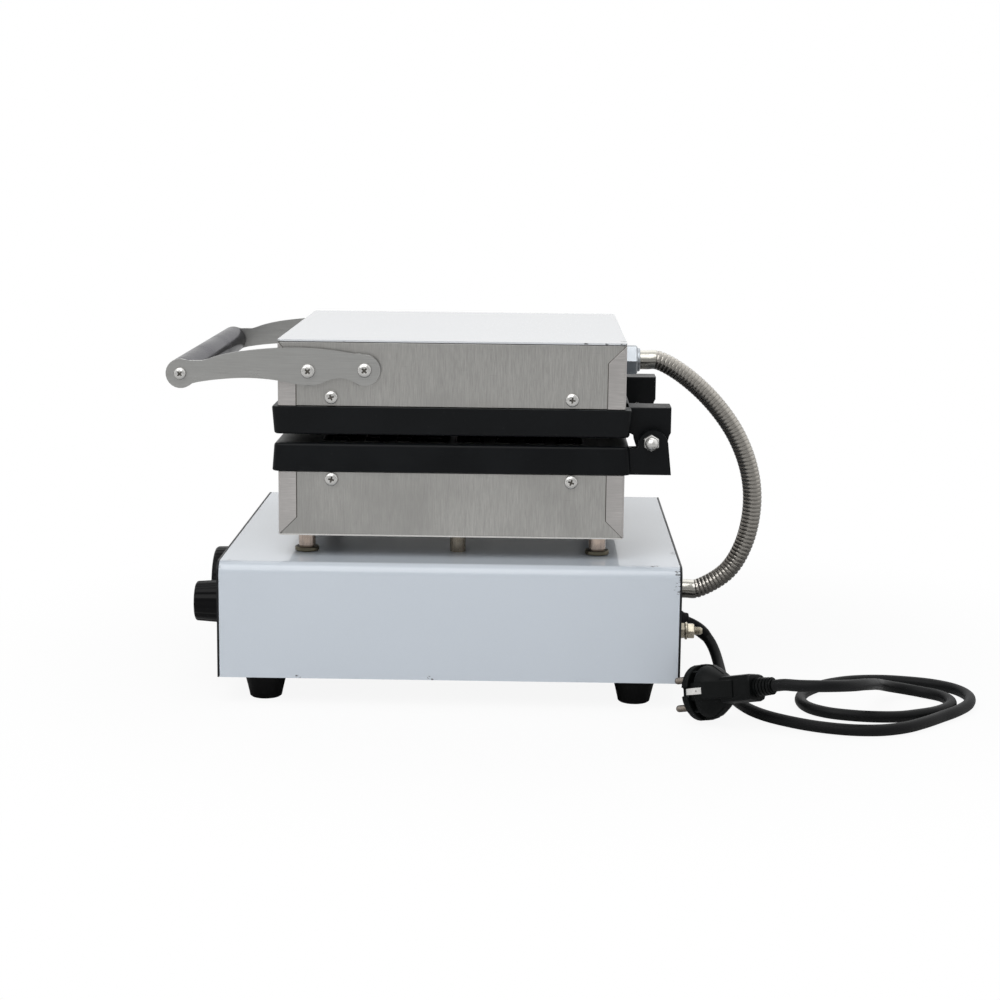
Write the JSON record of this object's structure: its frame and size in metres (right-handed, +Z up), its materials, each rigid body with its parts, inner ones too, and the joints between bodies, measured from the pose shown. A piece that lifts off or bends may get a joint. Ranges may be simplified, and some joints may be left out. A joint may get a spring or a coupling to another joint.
{
  "type": "waffle maker",
  "caption": "Square table-top waffle baker: box base on rubber feet, two hinged cast plates in brushed steel shells, bar handle, front knobs, ribbed wiring hose and mains lead",
  "frame": {"origin": "middle of the body on the surface it stands on, measured without the mains lead and its plug", "axes": "+Z up, -Y towards the front with the knobs and the grip, +X towards the side on which the timer knob and the plug lie"},
  "size_m": [0.3783, 0.5664, 0.2515],
  "materials": {
    "paint": "pale grey glossy enamel",
    "fascia": "black satin enamel",
    "steel": "brushed, fine vertical grain",
    "bright": "polished and plated",
    "zinc": "plated, dull",
    "casting": "black non-stick coating, satin",
    "black": "satin moulded",
    "flex": "smooth flexible sheath",
    "rubber": "matt moulded",
    "wool": "fibrous",
    "ceramic": "glazed",
    "amber": "clear tinted lens"
  },
  "bodies": {
    "base": {"base_cover": "paint", "front_panel": "fascia", "back_panel": "fascia", "bottom_plate": "steel", "foot_front_right": "rubber", "foot_screw_front_right": "bright", "standoff_front_right": "zinc", "foot_front_left": "rubber", "foot_screw_front_left": "bright", "standoff_front_left": "zinc", "foot_rear_right": "rubber", "foot_screw_rear_right": "bright", "standoff_rear_right": "zinc", "foot_rear_left": "rubber", "foot_screw_rear_left": "bright", "standoff_rear_left": "zinc", "wiring_sleeve": "black", "lower_shell": "steel", "lower_plate": "casting", "lower_heater": "bright", "lower_insulation": "wool", "lower_shell_screw_front_right": "bright", "lower_shell_screw_rear_right": "bright", "hinge_nut_right": "bright", "lower_shell_screw_front_left": "bright", "lower_shell_screw_rear_left": "bright", "hinge_nut_left": "bright", "hinge_rod": "bright", "hose_fitting_lower": "bright", "hose": "bright", "thermostat": "bright", "timer": "casting", "heating_lamp": "amber", "power_lamp": "amber", "terminal_block": "ceramic", "mains_gland": "black", "bonding_stud": "zinc", "mains_lead": "flex", "plug": "black"},
    "lid": {"upper_shell": "steel", "top_cover": "paint", "upper_plate": "casting", "upper_heater": "bright", "upper_insulation": "wool", "handle_grip": "bright", "hose_fitting_upper": "bright", "upper_shell_screw_front_right": "bright", "upper_shell_screw_rear_right": "bright", "handle_arm_right": "steel", "arm_screw_rear_right": "bright", "arm_screw_front_right": "bright", "grip_screw_right": "bright", "upper_shell_screw_front_left": "bright", "upper_shell_screw_rear_left": "bright", "handle_arm_left": "steel", "arm_screw_rear_left": "bright", "arm_screw_front_left": "bright", "grip_screw_left": "bright"},
    "dial": {"thermostat_dial": "black"},
    "timer_dial": {"timer_knob": "black"}
  },
  "joints": [
    {"name": "lid_hinge", "type": "hinge", "parent": "base", "child": "lid", "pos_m": [0, 0.12298, 0.18285], "axis": [-1, 0, 0], "range_deg": [0, 95], "deforming": ["hose"]},
    {"name": "thermostat_turn", "type": "hinge", "parent": "base", "child": "dial", "pos_m": [0.03, -0.18402, 0.0613], "axis": [0, 1, 0], "range_deg": [0, 300]},
    {"name": "timer_turn", "type": "hinge", "parent": "base", "child": "timer_dial", "pos_m": [0.098, -0.18662, 0.0613], "axis": [0, 1, 0], "range_deg": [0, 300]}
  ]
}
